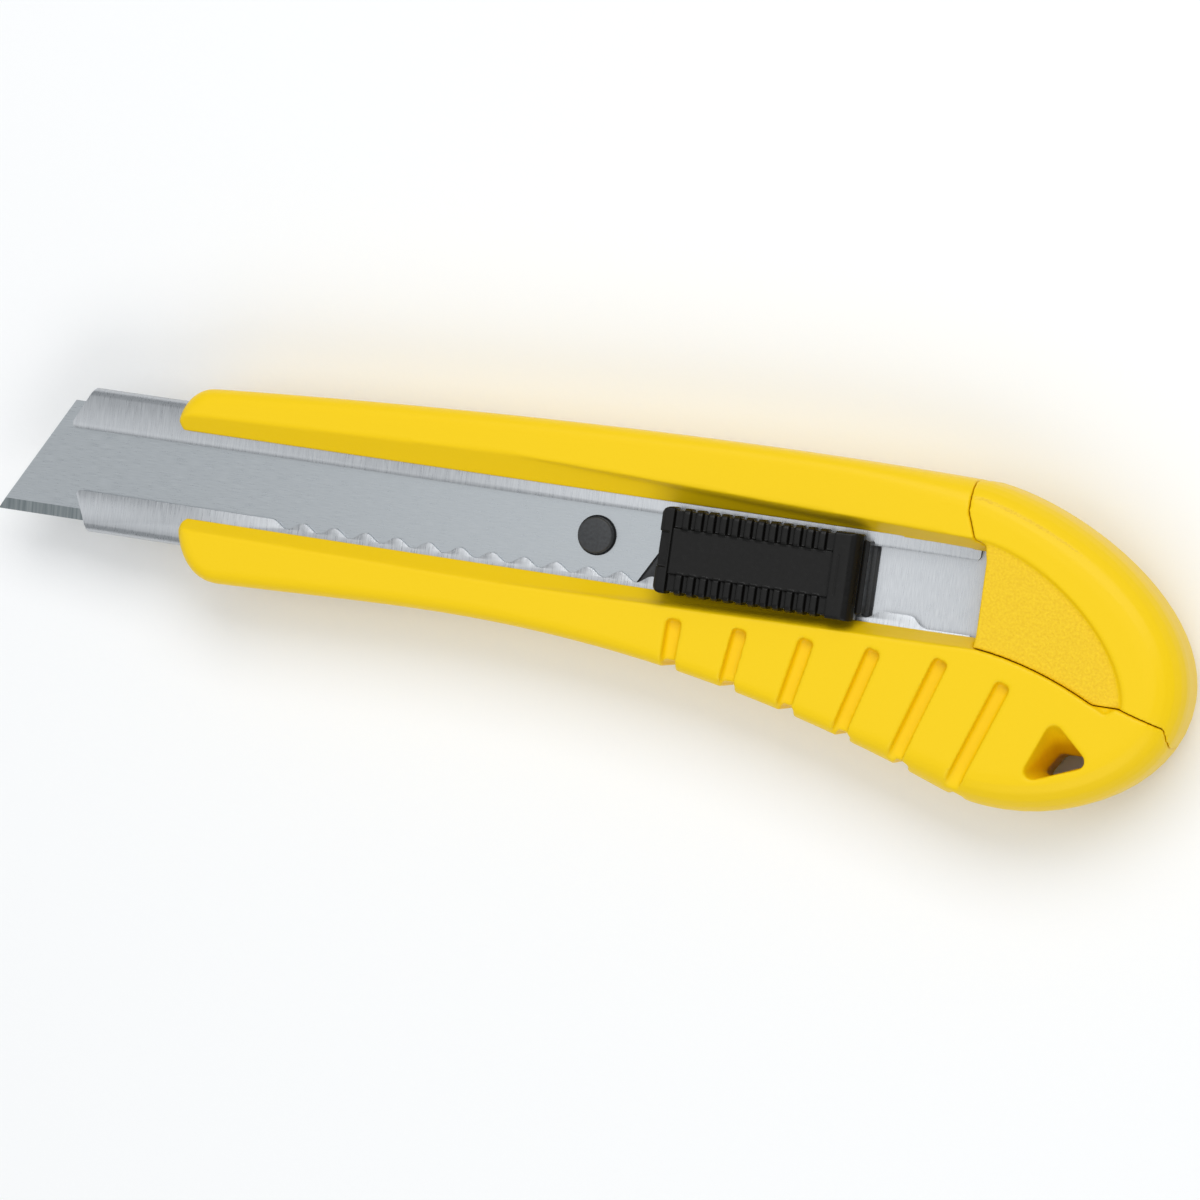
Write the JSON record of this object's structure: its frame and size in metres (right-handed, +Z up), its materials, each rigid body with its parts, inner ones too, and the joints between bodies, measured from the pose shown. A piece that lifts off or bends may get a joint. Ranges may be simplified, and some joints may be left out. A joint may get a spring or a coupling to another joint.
{
  "type": "snap-off knife",
  "caption": "Snap-off utility knife: scored 18 mm blade on a self-locking thumb slide in a steel channel, curved moulded handle with knuckle grooves, hanging hole and pull-off end cap.",
  "frame": {"origin": "on the flat back, under the centreline of the steel channel, 100 mm behind the channel's nose", "axes": "+X towards the tail along the blade's travel, +Z up through the slotted front face, +Y towards the blade's unsharpened back"},
  "size_m": [0.1855, 0.0469, 0.0177],
  "materials": {
    "handle_plastic": "satin moulded, fine texture",
    "cap_plastic": "satin moulded rim, stippled panel",
    "channel_steel": "brushed across",
    "blade_steel": "satin ground along",
    "carrier_plastic": "matte moulded",
    "button_plastic": "semi-gloss moulded",
    "spring_steel": "rolled"
  },
  "bodies": {
    "handle": {"handle_body": "handle_plastic", "blade_channel": "channel_steel"},
    "tail_cap": {"end_cap": "cap_plastic"},
    "carrier": {"blade_carrier": "carrier_plastic", "blade": "blade_steel", "lock_spring": "spring_steel"},
    "button": {"slide_button": "button_plastic"}
  },
  "joints": [
    {"name": "blade_slide", "type": "slide", "parent": "handle", "child": "carrier", "axis": [-1, 0, 0], "range_m": [-0.015, 0.055], "deforming": ["lock_spring"]},
    {"name": "button_play", "type": "slide", "parent": "carrier", "child": "button", "axis": [-1, 0, 0], "range_m": [-0.001, 0.001], "stiffness_N_per_m": 600},
    {"name": "cap_pull", "type": "slide", "parent": "handle", "child": "tail_cap", "axis": [1, 0, 0], "range_m": [0, 0.03]}
  ]
}
